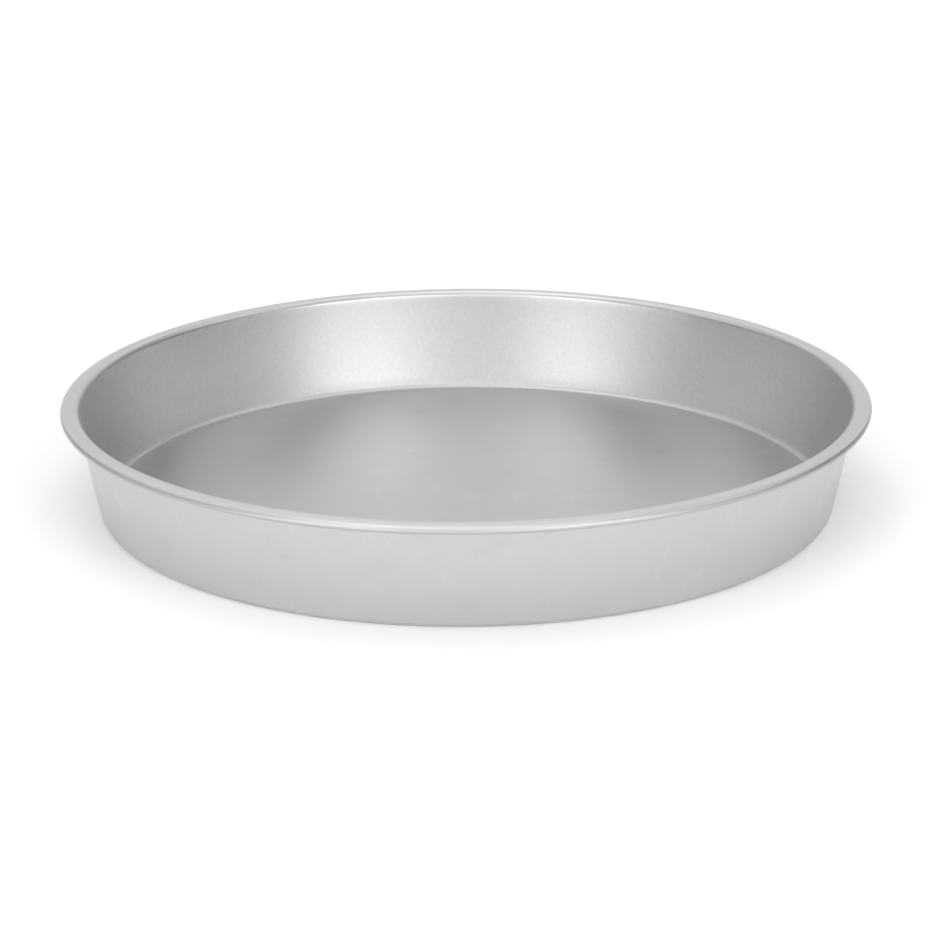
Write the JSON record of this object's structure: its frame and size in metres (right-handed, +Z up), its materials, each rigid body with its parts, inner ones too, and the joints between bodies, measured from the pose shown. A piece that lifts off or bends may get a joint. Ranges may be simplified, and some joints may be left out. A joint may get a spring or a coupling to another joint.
{
  "type": "baking pan",
  "caption": "Round shallow baking pan with a flat floor, a flared wall and a flat rolled rim closed round a stiffening wire, in satin aluminised steel.",
  "frame": {"origin": "middle of the base, on the surface that the pan stands on", "axes": "+Z up along the pan's axis, from the base to the open mouth"},
  "size_m": [0.3, 0.3, 0.0405],
  "materials": {
    "aluminised_sheet": "satin hot-dip aluminised steel with a fine grain",
    "drawn_wire": "bright drawn steel wire"
  },
  "bodies": {
    "root": {"pan_shell": "aluminised_sheet", "rim_wire": "drawn_wire"}
  },
  "joints": []
}
